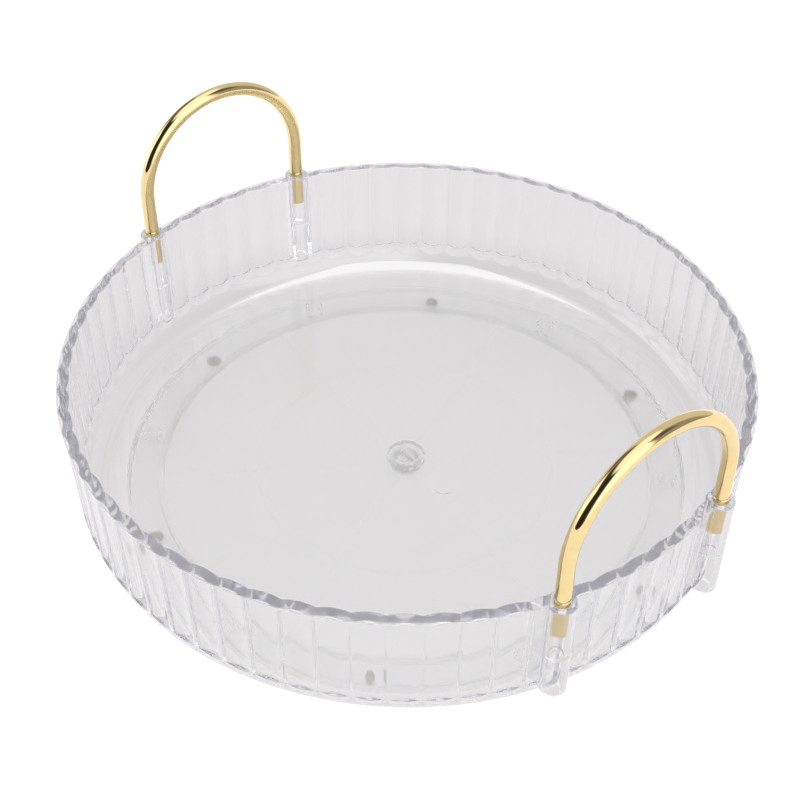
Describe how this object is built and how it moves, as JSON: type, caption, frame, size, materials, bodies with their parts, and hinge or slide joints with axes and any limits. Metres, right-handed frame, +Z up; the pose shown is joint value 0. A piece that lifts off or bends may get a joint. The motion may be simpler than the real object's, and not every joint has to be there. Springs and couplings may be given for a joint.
{
  "type": "lazy susan turntable",
  "caption": "Round clear fluted tray with two arched gold rod handles, turning on a ring of small clear balls above a clear base plate with grey feet.",
  "frame": {"origin": "on the spin axis, in the plane of the table that the feet stand on", "axes": "+Z up along the spin axis; the handles stand over +X and -X, so +X runs from the centre to one handle"},
  "size_m": [0.28, 0.28, 0.1263],
  "materials": {
    "clear_plastic": "clear injection-moulded plastic, high gloss, faint cool tint at the edges",
    "clear_base": "clear injection-moulded plastic, gloss",
    "gold": "polished gold-coloured plating",
    "clear_ball": "clear plastic balls, gloss",
    "grey_rubber": "soft warm-grey rubber, matt"
  },
  "bodies": {
    "base": {"base": "clear_base", "center_pin": "clear_base", "foot_1": "grey_rubber", "foot_2": "grey_rubber", "foot_3": "grey_rubber", "foot_4": "grey_rubber", "foot_5": "grey_rubber", "foot_6": "grey_rubber"},
    "cage": {"ball_cage": "clear_base"},
    "tray": {"tray": "clear_plastic", "handle_right": "gold", "handle_left": "gold"},
    "ball_1": {"ball_1": "clear_ball"},
    "ball_2": {"ball_2": "clear_ball"},
    "ball_3": {"ball_3": "clear_ball"},
    "ball_4": {"ball_4": "clear_ball"},
    "ball_5": {"ball_5": "clear_ball"},
    "ball_6": {"ball_6": "clear_ball"}
  },
  "joints": [
    {"name": "tray_spin", "type": "hinge", "parent": "base", "child": "tray", "pos_m": [0, 0, 0.00824], "axis": [0, 0, 1], "continuous": true},
    {"name": "cage_turn", "type": "hinge", "parent": "base", "child": "cage", "pos_m": [0, 0, 0.00572], "axis": [0, 0, 1], "continuous": true},
    {"name": "ball_1_roll", "type": "hinge", "parent": "cage", "child": "ball_1", "pos_m": [0.07886, 0.07953, 0.00572], "axis": [0.7041, 0.7101, 0], "continuous": true},
    {"name": "ball_2_roll", "type": "hinge", "parent": "cage", "child": "ball_2", "pos_m": [-0.02944, 0.10806, 0.00572], "axis": [-0.2629, 0.9648, 0], "continuous": true},
    {"name": "ball_3_roll", "type": "hinge", "parent": "cage", "child": "ball_3", "pos_m": [-0.1083, 0.02853, 0.00572], "axis": [-0.967, 0.2548, 0], "continuous": true},
    {"name": "ball_4_roll", "type": "hinge", "parent": "cage", "child": "ball_4", "pos_m": [-0.07886, -0.07953, 0.00572], "axis": [-0.7041, -0.7101, 0], "continuous": true},
    {"name": "ball_5_roll", "type": "hinge", "parent": "cage", "child": "ball_5", "pos_m": [0.02944, -0.10806, 0.00572], "axis": [0.2629, -0.9648, 0], "continuous": true},
    {"name": "ball_6_roll", "type": "hinge", "parent": "cage", "child": "ball_6", "pos_m": [0.1083, -0.02853, 0.00572], "axis": [0.967, -0.2548, 0], "continuous": true}
  ],
  "couplings": [
    {"joint": "cage_turn", "follows": "tray_spin", "ratio": 0.5},
    {"joint": "ball_1_roll", "follows": "tray_spin", "ratio": -22.4},
    {"joint": "ball_2_roll", "follows": "tray_spin", "ratio": -22.4},
    {"joint": "ball_3_roll", "follows": "tray_spin", "ratio": -22.4},
    {"joint": "ball_4_roll", "follows": "tray_spin", "ratio": -22.4},
    {"joint": "ball_5_roll", "follows": "tray_spin", "ratio": -22.4},
    {"joint": "ball_6_roll", "follows": "tray_spin", "ratio": -22.4}
  ]
}
